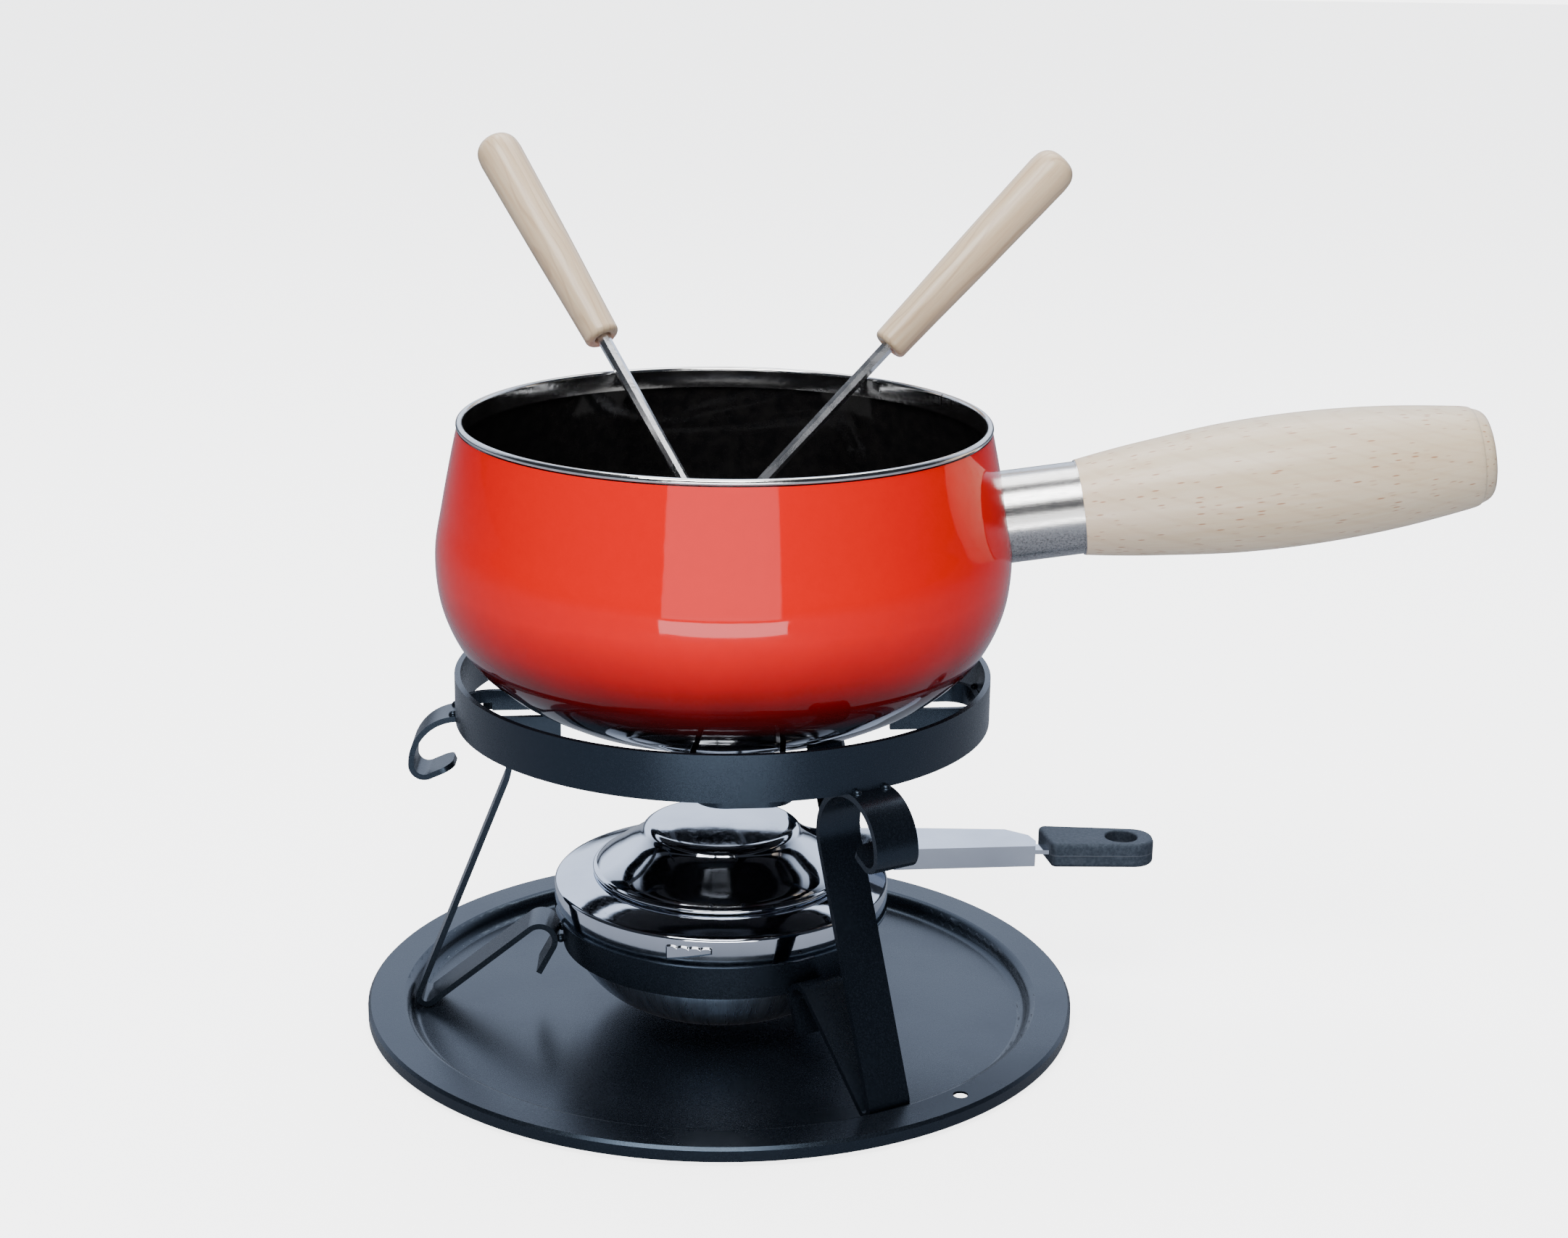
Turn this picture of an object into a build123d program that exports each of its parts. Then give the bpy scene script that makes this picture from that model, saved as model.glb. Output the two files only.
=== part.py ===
from build123d import *
import os
from math import cos, hypot, radians, sin, sqrt

os.makedirs("parts", exist_ok=True)

# ---- Tray: pressed sheet dish that catches drips and carries the stand ----
sheet = 0.8
tray_radius = 126.0
tray_height = 6.4
tray_rim_width = 13.3
tray_floor_radius = 109.5
hang_hole_radius = 2.5
hang_hole_ring = 118.0
hang_hole_azimuth = -47.4

# ---- Stand: 16 x 2 mm strip bent into legs, welded to an upright ring ----
strip_width = 16.0
strip_thick = 2.0
ring_radius = 93.2
ring_bottom = 110.7
ring_height = 16.1
leg_angles = {"leg_left": 180.0, "leg_front": -59.0, "leg_back": 61.0}
arch_radius = 17.0
arch_inset = 26.6
arch_outset = 15.4
hook_drop = 23.9
hook_tip_out = 0.7
hook_tip_drop = 17.4
foot_bend = 2.82
shoulder_bend = 5.5
hook_bend = 4.5
burner_ring_radius = 56.5
burner_ring_bottom = 26.4
burner_ring_height = 12.0
rest_height = 7.3
rest_rise = 4.7
rest_top = ring_bottom + rest_rise
rest_half_width = 15.0
rest_bend = 9.0
rest_tip_radius = 57.0
rest_angles = [-175.0, -85.0, 5.0, 95.0]
weld_radius = 1.6

# ---- Burner ----
gap = 0.3
bowl_bottom = 4.8
bowl_foot_radius = 24.3
bowl_radius = 54.0
bowl_curve_height = 42.2
burner_seat = burner_ring_bottom + burner_ring_height + gap
cap_radius = 59.3
cap_height = 11.0
cap_crown = 52.3
cap_crown_radius = 46.0
neck_radius = 38.0
neck_fit = 0.05
neck_top = 53.2
lid_brim_radius = 45.0
lid_brim_z = 53.6
lid_bead = 0.8
lid_top = 69.4

mark_start = -106.5
mark_pitch = 3.9
mark_radius = 1.9

# ---- Pot ----
wall = 1.5
pot_base = rest_top + gap
pot_base_radius = 61.0
rim_radius = 90.0
rim_z = 214.6
rim_bead = 1.2
handle_tilt = 8.2
handle_start_x = 92.0
handle_start_z = 181.3
ferrule_radius = 16.0
ferrule_wall = 1.1
ferrule_end = 30.0
wood_length = 141.0
stud_radius = 3.0

# ---- Forks ----
fork_length = 250.0
fork_handle_length = 95.0
fork_tip_left = (27.3, 0.3, 118.9)
fork_rest_left = (-39.8, 79.0, 218.9)
fork_tip_right = (-45.4, 35.9, 118.9)
fork_rest_right = (51.5, 72.0, 218.9)


# ============================ tray ============================
rim_inner = tray_radius - tray_rim_width
with BuildPart() as tray:
    with BuildSketch(Plane.XZ) as tray_section:
        with BuildLine():
            Polyline((0, 0), (tray_floor_radius - 2.4, 0))
            ThreePointArc(
                (tray_floor_radius - 2.4, 0),
                (tray_floor_radius + 0.3, 1.1),
                (tray_floor_radius + 1.6, 3.4),
            )
            ThreePointArc(
                (tray_floor_radius + 1.6, 3.4),
                (tray_floor_radius + 2.4, 4.9),
                (rim_inner + 1.0, tray_height - sheet),
            )
            Polyline(
                (rim_inner + 1.0, tray_height - sheet),
                (tray_radius - 1.3, tray_height - sheet),
                (tray_radius - sheet, tray_height - 1.5),
                (tray_radius - sheet, 1.6),
                (tray_radius, 1.6),
                (tray_radius, tray_height - 1.0),
                (tray_radius - 1.0, tray_height),
                (rim_inner + 0.7, tray_height),
            )
            ThreePointArc(
                (rim_inner + 0.7, tray_height),
                (tray_floor_radius + 1.8, 5.4),
                (tray_floor_radius + 0.8, 3.6),
            )
            ThreePointArc(
                (tray_floor_radius + 0.8, 3.6),
                (tray_floor_radius - 0.3, 1.6),
                (tray_floor_radius - 2.6, sheet),
            )
            Polyline((tray_floor_radius - 2.6, sheet), (0, sheet), (0, 0))
        make_face()
    revolve(axis=Axis.Z)
    # rolled lip along the bottom of the skirt
    with BuildSketch(Plane.XZ):
        with Locations((tray_radius - 1.2, 2.4)):
            Circle(1.2)
    revolve(axis=Axis.Z)
    # hanging hole in the flat rim
    hole_x = hang_hole_ring * cos(radians(hang_hole_azimuth))
    hole_y = hang_hole_ring * sin(radians(hang_hole_azimuth))
    with BuildSketch(Plane.XY.offset(tray_height - 2.5)):
        with Locations((hole_x, hole_y)):
            Circle(hang_hole_radius)
    extrude(amount=4.0, mode=Mode.SUBTRACT)
tray.part.label = "tray"
export_step(tray.part, "parts/tray.step")

# ============================ stand ============================
with BuildPart() as stand_ring:
    with BuildSketch(Plane.XY.offset(ring_bottom)):
        Circle(ring_radius)
        Circle(ring_radius - strip_thick, mode=Mode.SUBTRACT)
    extrude(amount=ring_height)
stand_ring.part.label = "stand_ring"
export_step(stand_ring.part, "parts/stand_ring.step")

with BuildPart() as burner_ring:
    with BuildSketch(Plane.XY.offset(burner_ring_bottom)):
        Circle(burner_ring_radius)
        Circle(burner_ring_radius - strip_thick, mode=Mode.SUBTRACT)
    extrude(amount=burner_ring_height)
burner_ring.part.label = "burner_ring"
export_step(burner_ring.part, "parts/burner_ring.step")

# Each leg is one strip: burner arm, foot, upright, arch under the ring and hook.
arch_top = ring_bottom - strip_thick / 2
tail_end = (64.9, 14.4)
shoulder_corner = (47.0, 47.9)
foot_corner = (111.6, -3.95)
arch_corner_in = (ring_radius - arch_inset, arch_top)
arch_corner_out = (ring_radius + arch_outset, arch_top)
hook_corner = (ring_radius + arch_outset, arch_top - hook_drop)
hook_tip = (ring_radius + hook_tip_out, arch_top - hook_tip_drop)
for leg_name, leg_angle in leg_angles.items():
    leg_x = (cos(radians(leg_angle)), sin(radians(leg_angle)), 0)
    leg_normal = (sin(radians(leg_angle)), -cos(radians(leg_angle)), 0)
    leg_plane = Plane(origin=(0, 0, 0), x_dir=leg_x, z_dir=leg_normal)
    with BuildPart() as leg:
        with BuildSketch(leg_plane):
            with BuildLine() as path:
                Polyline(
                    tail_end,
                    shoulder_corner,
                    foot_corner,
                    arch_corner_in,
                    arch_corner_out,
                    hook_corner,
                    hook_tip,
                )
                corners = path.vertices().sort_by_distance(shoulder_corner)
                fillet(corners[0], shoulder_bend)
                corners = path.vertices().sort_by_distance(foot_corner)
                fillet(corners[0], foot_bend)
                corners = path.vertices().sort_by_distance(arch_corner_in)
                fillet(corners[0], arch_radius - 0.1)
                corners = path.vertices().sort_by_distance(arch_corner_out)
                fillet(corners[0], arch_radius - 0.3)
                corners = path.vertices().sort_by_distance(hook_corner)
                fillet(corners[0], hook_bend)
            trace(line_width=strip_thick)
        extrude(amount=strip_width / 2, both=True)
        # the hook's free end is rounded at both corners
        tip_point = (
            hook_tip[0] * leg_x[0],
            hook_tip[0] * leg_x[1],
            hook_tip[1],
        )
        short_edges = leg.edges().filter_by(lambda e: abs(e.length - strip_thick) < 0.05)
        fillet(short_edges.sort_by_distance(tip_point)[0:2], 5.0)
    leg.part.label = leg_name
    export_step(leg.part, "parts/" + leg_name + ".step")

# Four U-shaped strips stand on edge inside the ring; the pot's base sits on them.
ring_inner = ring_radius - strip_thick
back_middle = sqrt(ring_inner**2 - 6.5**2) - strip_thick / 2 - 0.05
for rest_number, rest_angle in enumerate(rest_angles):
    rest_x = (cos(radians(rest_angle)), sin(radians(rest_angle)), 0)
    rest_plane = Plane(
        origin=(0, 0, rest_top - rest_height),
        x_dir=rest_x,
        z_dir=(0, 0, 1),
    )
    with BuildPart() as rest:
        with BuildSketch(rest_plane):
            with BuildLine() as path:
                Polyline(
                    (rest_tip_radius, -rest_half_width),
                    (back_middle, -rest_half_width),
                    (back_middle, rest_half_width),
                    (rest_tip_radius, rest_half_width),
                )
                back_corners = path.vertices().sort_by(Axis.X)
                fillet(back_corners[-2:], rest_bend)
            trace(line_width=strip_thick)
        extrude(amount=rest_height)
        if rest_number == 0:
            # notch that clears the arch of the leg below this rest
            with Locations((-ring_inner + 4.6, 0, rest_top - rest_height)):
                Box(
                    10.6,
                    strip_width + 0.6,
                    2 * (ring_bottom + gap - rest_top + rest_height),
                    mode=Mode.SUBTRACT,
                )
    rest_name = "pot_rest_" + str(rest_number + 1)
    rest.part.label = rest_name
    export_step(rest.part, "parts/" + rest_name + ".step")

# Weld beads: arch to ring, shoulder to burner ring, rest to ring.
with BuildPart() as stand_welds:
    for leg_angle in leg_angles.values():
        for side in (-5.5, 5.5):
            turn = radians(leg_angle)
            for bead_radius, bead_z in ((ring_radius + 0.6, ring_bottom - 0.2), (57.1, 27.0)):
                bead_x = bead_radius * cos(turn) - side * sin(turn)
                bead_y = bead_radius * sin(turn) + side * cos(turn)
                with Locations((bead_x, bead_y, bead_z)):
                    Sphere(weld_radius)
stand_welds.part.label = "stand_welds"
export_step(stand_welds.part, "parts/stand_welds.step")

with BuildPart() as rest_welds:
    for rest_angle in rest_angles:
        for side in (-8.5, 8.5):
            turn = radians(rest_angle)
            bead_radius = sqrt(ring_inner**2 - side**2) - 0.3
            bead_x = bead_radius * cos(turn) - side * sin(turn)
            bead_y = bead_radius * sin(turn) + side * cos(turn)
            with Locations((bead_x, bead_y, rest_top)):
                Sphere(1.2)
rest_welds.part.label = "rest_welds"
export_step(rest_welds.part, "parts/rest_welds.step")

# ============================ burner ============================
bowl_centre_z = bowl_bottom + bowl_curve_height
bowl_points = []
bowl_inner_points = []
bowl_span = bowl_radius - bowl_foot_radius
for step in range(7):
    bowl_z = bowl_bottom + (26.6 - bowl_bottom) * (step / 6) ** 1.6
    shape = sqrt(1 - ((bowl_centre_z - bowl_z) / bowl_curve_height) ** 2)
    shape_end = sqrt(1 - ((bowl_centre_z - 26.6) / bowl_curve_height) ** 2)
    bowl_r = bowl_foot_radius + bowl_span * shape / shape_end
    bowl_points.append((bowl_r, bowl_z))
    bowl_inner_points.append((bowl_r - sheet * (0.15 + 0.85 * shape), bowl_z + sheet * (1 - shape)))
with BuildPart() as burner_bowl:
    with BuildSketch(Plane.XZ):
        with BuildLine():
            Line((0, bowl_bottom), bowl_points[0])
            Spline(*bowl_points)
            Polyline(
                bowl_points[-1],
                (bowl_radius, burner_seat),
                (bowl_radius + 3.8, burner_seat),
                (bowl_radius + 3.8, burner_seat + sheet),
                (bowl_radius - sheet, burner_seat + sheet),
                bowl_inner_points[-1],
            )
            Spline(*bowl_inner_points[::-1])
            Polyline(bowl_inner_points[0], (0, bowl_bottom + sheet), (0, bowl_bottom))
        make_face()
    revolve(axis=Axis.Z)
burner_bowl.part.label = "burner_bowl"
export_step(burner_bowl.part, "parts/burner_bowl.step")

top_rim = burner_seat + sheet
with BuildPart() as burner_top:
    with BuildSketch(Plane.XZ):
        with BuildLine():
            Polyline(
                (56.8, top_rim),
                (57.6, top_rim),
                (57.6, 46.8),
                (neck_radius + 0.8, 49.6),
                (neck_radius, 50.2),
                (neck_radius, neck_top),
                (neck_radius - sheet, neck_top),
                (neck_radius - sheet, 49.0),
                (56.8, 46.0),
                (56.8, top_rim),
            )
        make_face()
    revolve(axis=Axis.Z)
burner_top.part.label = "burner_top"
export_step(burner_top.part, "parts/burner_top.step")

with BuildPart() as burner_wadding:
    with BuildSketch(Plane.XY.offset(14.0)):
        Circle(36.0)
    extrude(amount=30.0)
    fillet(burner_wadding.edges().group_by(Axis.Z)[-1], 4.0)
burner_wadding.part.label = "burner_wadding"
export_step(burner_wadding.part, "parts/burner_wadding.step")

gauze_pitch = 5.0
gauze_wire = 0.4
gauze_z = 50.4
with BuildPart() as burner_gauze:
    with BuildSketch(Plane.XY.offset(gauze_z)):
        Circle(neck_radius - sheet)
        Circle(neck_radius - sheet - 1.6, mode=Mode.SUBTRACT)
        for wire in range(-7, 8):
            wire_y = wire * gauze_pitch
            wire_half = sqrt((neck_radius - sheet - 1.0) ** 2 - wire_y**2)
            with Locations((0, wire_y)):
                Rectangle(2 * wire_half, gauze_wire)
            with Locations((wire_y, 0)):
                Rectangle(gauze_wire, 2 * wire_half)
    extrude(amount=0.8)
burner_gauze.part.label = "burner_gauze"
export_step(burner_gauze.part, "parts/burner_gauze.step")

# Regulator cap: turns on the neck; a raised scale on its side marks the flame setting.
cap_top = burner_seat + cap_height
with BuildPart() as regulator_cap:
    with BuildSketch(Plane.XZ):
        with BuildLine():
            Polyline(
                (cap_radius - sheet, burner_seat),
                (cap_radius, burner_seat),
                (cap_radius, cap_top - 1.2),
            )
            ThreePointArc(
                (cap_radius, cap_top - 1.2),
                (cap_radius - 0.35, cap_top - 0.35),
                (cap_radius - 1.2, cap_top),
            )
            Polyline(
                (cap_radius - 1.2, cap_top),
                (cap_crown_radius, cap_crown),
                (neck_radius + neck_fit, cap_crown + 0.2),
                (neck_radius + neck_fit, cap_crown - 0.6),
                (cap_crown_radius, cap_crown - sheet),
                (cap_radius - 1.4, cap_top - sheet),
                (cap_radius - sheet, cap_top - 1.4),
                (cap_radius - sheet, burner_seat),
            )
        make_face()
    revolve(axis=Axis.Z)
    # raised scale: four columns with round tops, each shorter than the last
    for step in range(4):
        mark_azimuth = radians(mark_start + mark_pitch * step)
        mark_height = 3.2 - 0.75 * step
        mark_plane = Plane(
            origin=(
                (cap_radius - 0.4) * cos(mark_azimuth),
                (cap_radius - 0.4) * sin(mark_azimuth),
                burner_seat + 7.4,
            ),
            x_dir=(-sin(mark_azimuth), cos(mark_azimuth), 0),
            z_dir=(cos(mark_azimuth), sin(mark_azimuth), 0),
        )
        with BuildSketch(mark_plane):
            Circle(mark_radius)
            with Locations((0, -mark_height / 2)):
                Rectangle(2 * mark_radius, mark_height)
        extrude(amount=0.8)
regulator_cap.part.label = "regulator_cap"
export_step(regulator_cap.part, "parts/regulator_cap.step")

# Snuffer lid: turned-up brim, concave side and flat top.
with BuildPart() as snuffer_lid:
    with BuildSketch(Plane.XZ):
        with BuildLine():
            ThreePointArc((44.9, lid_brim_z + 0.75), (36.9, 60.3), (28.2, 66.6))
            ThreePointArc((28.2, 66.6), (26.8, 68.5), (24.2, lid_top))
            Polyline((24.2, lid_top), (0, lid_top), (0, lid_top - sheet), (24.0, lid_top - sheet))
            ThreePointArc((24.0, lid_top - sheet), (26.2, 67.8), (27.4, 66.3))
            ThreePointArc((27.4, 66.3), (36.2, 59.7), (44.6, lid_brim_z))
            Line((44.6, lid_brim_z), (44.9, lid_brim_z + 0.75))
        make_face()
        with Locations((lid_brim_radius, lid_brim_z)):
            Circle(lid_bead)
    revolve(axis=Axis.Z)
snuffer_lid.part.label = "snuffer_lid"
export_step(snuffer_lid.part, "parts/snuffer_lid.step")

# Arm: tapered channel brazed to the lid's side, with a tongue into the grip.
arm_top = 59.4
arm_bottom = 51.6
arm_wall = 1.2
tongue_start = 112.0
tongue_length = 23.0
tongue_y = 11.6
tongue_half = 3.0
with BuildPart() as lid_arm:
    with BuildSketch(Plane.XY.offset(arm_bottom)) as arm_plan:
        with BuildLine():
            Polyline(
                (28, -3.5),
                (72, 0.8),
                (112.5, 4.4),
                (113.2, 9.5),
                (111, 15.5),
                (103, 21.2),
                (73, 21.8),
                (28, 21),
                (28, -3.5),
            )
        make_face()
    extrude(amount=arm_top - arm_bottom)
    with BuildSketch(Plane.XY.offset(arm_bottom)):
        with BuildLine():
            Polyline(
                (27, -2.3),
                (72, 2.0),
                (111.2, 5.6),
                (111.9, 9.4),
                (110, 14.8),
                (102.6, 20.0),
                (73, 20.6),
                (27, 19.8),
                (27, -2.3),
            )
        make_face()
    extrude(amount=arm_top - arm_bottom - arm_wall, mode=Mode.SUBTRACT)
    with BuildSketch(Plane.XY.offset(54.6)):
        with Locations((tongue_start + tongue_length / 2, tongue_y)):
            Rectangle(tongue_length, 2 * tongue_half)
    extrude(amount=1.6)
    # clearance over the lid's brim and the cap
    with BuildSketch(Plane.XY.offset(arm_bottom - 1)):
        Circle(61.5)
    extrude(amount=4.3, mode=Mode.SUBTRACT)
    # the inner end follows the lid's outer surface
    with BuildSketch(Plane.XZ):
        with BuildLine():
            Line((0, 50), (45.6, 50))
            Line((45.6, 50), (44.92, lid_brim_z + 0.77))
            ThreePointArc((44.92, lid_brim_z + 0.77), (36.93, 60.32), (28.22, 66.62))
            Polyline((28.22, 66.62), (28.22, 70), (0, 70), (0, 50))
        make_face()
    revolve(axis=Axis.Z, mode=Mode.SUBTRACT)
lid_arm.part.label = "lid_arm"
export_step(lid_arm.part, "parts/lid_arm.step")

grip_bottom = 50.9
grip_thick = 9.0
grip_hole_radius = 5.8
with BuildPart() as lid_grip:
    with BuildSketch(Plane.XY.offset(grip_bottom)):
        with BuildLine():
            Polyline((115.0, 24.9), (156.0, 21.7), (156.0, 4.9), (118.6, 4.7), (115.0, 24.9))
        make_face()
    extrude(amount=grip_thick)
    upright = lid_grip.edges().filter_by(Axis.Z).sort_by(Axis.X)
    fillet(upright[-2:], 7.6)
    upright = lid_grip.edges().filter_by(Axis.Z).sort_by(Axis.X)
    fillet(upright[:2], 2.5)
    fillet(lid_grip.faces().sort_by(Axis.Z)[-1].edges(), 1.4)
    fillet(lid_grip.faces().sort_by(Axis.Z)[0].edges(), 1.4)
    with BuildSketch(Plane.XY.offset(grip_bottom)):
        with Locations((144.5, 13.6)):
            Circle(grip_hole_radius)
    extrude(amount=grip_thick, mode=Mode.SUBTRACT)
    hole_edges = lid_grip.edges().filter_by(GeomType.CIRCLE)
    hole_edges = hole_edges.filter_by(lambda e: abs(e.radius - grip_hole_radius) < 0.01)
    fillet(hole_edges, 0.7)
    with BuildSketch(Plane.XY.offset(54.6)):
        with Locations((tongue_start + tongue_length / 2, tongue_y)):
            Rectangle(tongue_length, 2 * tongue_half)
    extrude(amount=1.6, mode=Mode.SUBTRACT)
lid_grip.part.label = "lid_grip"
export_step(lid_grip.part, "parts/lid_grip.step")

# ============================ pot ============================
pot_points = [
    (pot_base_radius + 1.4, pot_base + 0.9),
    (71.8, 121.6),
    (79.4, 126.8),
    (88.0, 134.8),
    (94.0, 144.4),
    (97.9, 156.4),
    (98.9, 171.4),
    (96.4, 186.4),
    (93.5, 201.4),
    (90.9, rim_z - 1.2),
]
# the inner surface keeps the wall thickness square to the outer one
pot_inner_points = []
for number in range(len(pot_points)):
    before = pot_points[max(number - 1, 0)]
    after = pot_points[min(number + 1, len(pot_points) - 1)]
    run = after[0] - before[0]
    rise = after[1] - before[1]
    span = hypot(run, rise)
    here = pot_points[number]
    pot_inner_points.append((here[0] - wall * rise / span, here[1] + wall * run / span))
pot_inner_points[0] = (pot_base_radius - 0.6, pot_base + wall)
with BuildPart() as pot_shell:
    with BuildSketch(Plane.XZ):
        with BuildLine():
            Line((0, pot_base), (pot_base_radius, pot_base))
            Line((pot_base_radius, pot_base), pot_points[0])
            Spline(*pot_points)
            Line(pot_points[-1], pot_inner_points[-1])
            Spline(*pot_inner_points[::-1])
            Polyline(pot_inner_points[0], (0, pot_base + wall), (0, pot_base))
        make_face()
    revolve(axis=Axis.Z)
pot_shell.part.label = "pot_shell"
export_step(pot_shell.part, "parts/pot_shell.step")

# Polished band hooked over the mouth of the pot.
edge_out = pot_points[-1]
edge_in = pot_inner_points[-1]
with BuildPart() as rim_band:
    with BuildSketch(Plane.XZ):
        with Locations((rim_radius, rim_z)):
            Circle(rim_bead)
        with BuildLine():
            Polyline(
                (edge_in[0] + 0.3, edge_in[1] + 0.7),
                (edge_in[0] - 0.6, edge_in[1] + 1.4),
                (edge_in[0] - 0.55, edge_in[1] - 0.2),
                (edge_in[0] + 0.3, edge_in[1] - 5.0),
                (edge_in[0] + 0.9, edge_in[1] - 5.0),
                (edge_in[0] + 0.3, edge_in[1] + 0.7),
            )
        make_face()
        # nothing of the band reaches into the pot's wall
        with BuildLine():
            Line((110, edge_out[1]), edge_out)
            Line(edge_out, edge_in)
            Spline(*pot_inner_points[::-1])
            Polyline(pot_inner_points[0], (110, pot_base), (110, edge_out[1]))
        make_face(mode=Mode.SUBTRACT)
    revolve(axis=Axis.Z)
rim_band.part.label = "rim_band"
export_step(rim_band.part, "parts/rim_band.step")

# Handle parts share one axis tilted up from +X.
handle_dir = (cos(radians(handle_tilt)), 0, sin(radians(handle_tilt)))
handle_origin = (handle_start_x, 0, handle_start_z)
handle_end_on = Plane(origin=handle_origin, x_dir=(0, 1, 0), z_dir=handle_dir)
handle_section = Plane(origin=handle_origin, x_dir=handle_dir, z_dir=(0, -1, 0))
handle_axis = Axis(handle_origin, handle_dir)

with BuildPart() as handle_ferrule:
    with BuildSketch(handle_end_on):
        Circle(ferrule_radius)
        Circle(ferrule_radius - ferrule_wall, mode=Mode.SUBTRACT)
    extrude(amount=ferrule_end)
    with BuildSketch(Plane.XZ):
        with BuildLine():
            Spline(*pot_points)
            Polyline(pot_points[-1], (0, rim_z), (0, pot_base), pot_points[0])
        make_face()
    revolve(axis=Axis.Z, mode=Mode.SUBTRACT)
handle_ferrule.part.label = "handle_ferrule"
export_step(handle_ferrule.part, "parts/handle_ferrule.step")

with BuildPart() as handle_stud:
    with BuildSketch(handle_end_on):
        Circle(stud_radius)
    extrude(amount=ferrule_end + 45.0)
    with BuildSketch(Plane.XZ):
        with BuildLine():
            Spline(*pot_points)
            Polyline(pot_points[-1], (0, rim_z), (0, pot_base), pot_points[0])
        make_face()
    revolve(axis=Axis.Z, mode=Mode.SUBTRACT)
handle_stud.part.label = "handle_stud"
export_step(handle_stud.part, "parts/handle_stud.step")

wood_start = ferrule_end + 0.4
wood_points = [
    (wood_start, 16.6),
    (wood_start + 24, 19.8),
    (wood_start + 52, 22.5),
    (wood_start + 80, 22.9),
    (wood_start + 107, 21.2),
    (wood_start + 132, 17.9),
    (wood_start + wood_length - 4.6, 16.6),
]
with BuildPart() as wooden_handle:
    with BuildSketch(handle_section):
        with BuildLine():
            Polyline(
                (wood_start + wood_length, 0),
                (wood_start + 50.0, 0),
                (wood_start + 46.0, stud_radius),
                (wood_start - 14.0, stud_radius),
                (wood_start - 14.0, ferrule_radius - ferrule_wall - 0.1),
                (wood_start, ferrule_radius - ferrule_wall - 0.1),
                wood_points[0],
            )
            Spline(*wood_points)
            ThreePointArc(
                wood_points[-1],
                (wood_start + wood_length - 1.3, 14.9),
                (wood_start + wood_length, 11.6),
            )
            Line((wood_start + wood_length, 11.6), (wood_start + wood_length, 0))
        make_face()
    revolve(axis=handle_axis)
wooden_handle.part.label = "wooden_handle"
export_step(wooden_handle.part, "parts/wooden_handle.step")

with BuildPart() as handle_washer:
    with BuildSketch(Plane(origin=handle_axis.position + handle_axis.direction * ferrule_end,
                           x_dir=(0, 1, 0), z_dir=handle_dir)):
        Circle(16.4)
        Circle(ferrule_radius - ferrule_wall - 0.1, mode=Mode.SUBTRACT)
    extrude(amount=0.4)
handle_washer.part.label = "handle_washer"
export_step(handle_washer.part, "parts/handle_washer.step")

# ============================ forks ============================
shaft_end = fork_length - fork_handle_length + 14.0
handle_foot = fork_length - fork_handle_length
with BuildPart() as fork_shaft:
    for tine_x in (-3.2, 0.0, 3.2):
        with Locations((tine_x, 0, 1.5)):
            Cylinder(0.75, 21.0, align=(Align.CENTER, Align.CENTER, Align.MIN))
        with Locations((tine_x, 0, 0)):
            Cone(0.2, 0.75, 1.5, align=(Align.CENTER, Align.CENTER, Align.MIN))
    with BuildSketch(Plane.XZ):
        with BuildLine():
            Polyline((-3.95, 21), (3.95, 21), (3.95, 23), (1.6, 30), (-1.6, 30), (-3.95, 23), (-3.95, 21))
        make_face()
    extrude(amount=0.9, both=True)
    with BuildSketch(Plane.XY.offset(28)):
        RegularPolygon(1.9, 8)
    with BuildSketch(Plane.XY.offset(shaft_end)):
        RegularPolygon(2.65, 8)
    loft()
with BuildPart() as fork_handle:
    with BuildSketch(Plane.XZ):
        with BuildLine():
            Polyline((0, fork_length), (0, shaft_end), (3.1, shaft_end), (3.1, handle_foot + 1.2))
            ThreePointArc((3.1, handle_foot + 1.2), (3.6, handle_foot + 0.3), (4.4, handle_foot))
            ThreePointArc((4.4, handle_foot), (6.0, handle_foot + 0.8), (6.6, handle_foot + 2.6))
            Spline((6.6, handle_foot + 2.6), (7.6, handle_foot + 40), (8.5, fork_length - 8.0))
            ThreePointArc(
                (8.5, fork_length - 8.0),
                (7.0, fork_length - 2.4),
                (2.6, fork_length),
            )
            Line((2.6, fork_length), (0, fork_length))
        make_face()
    revolve(axis=Axis.Z)
fork_sides = {"left": (fork_tip_left, fork_rest_left), "right": (fork_tip_right, fork_rest_right)}
for side_name, (tip, rest_point) in fork_sides.items():
    fork_dir = (Vector(*rest_point) - Vector(*tip)).normalized()
    fork_across = fork_dir.cross(Vector(0, 0, 1)).normalized()
    fork_plane = Plane(origin=tip, x_dir=fork_across, z_dir=fork_dir)
    with BuildPart() as shaft_copy:
        with Locations(fork_plane.location):
            add(fork_shaft.part)
    shaft_copy.part.label = "fork_shaft_" + side_name
    export_step(shaft_copy.part, "parts/fork_shaft_" + side_name + ".step")
    with BuildPart() as handle_copy:
        with Locations(fork_plane.location):
            add(fork_handle.part)
    handle_copy.part.label = "fork_handle_" + side_name
    export_step(handle_copy.part, "parts/fork_handle_" + side_name + ".step")
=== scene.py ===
import bpy
import bmesh
import math
from mathutils import Matrix, Vector


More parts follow.
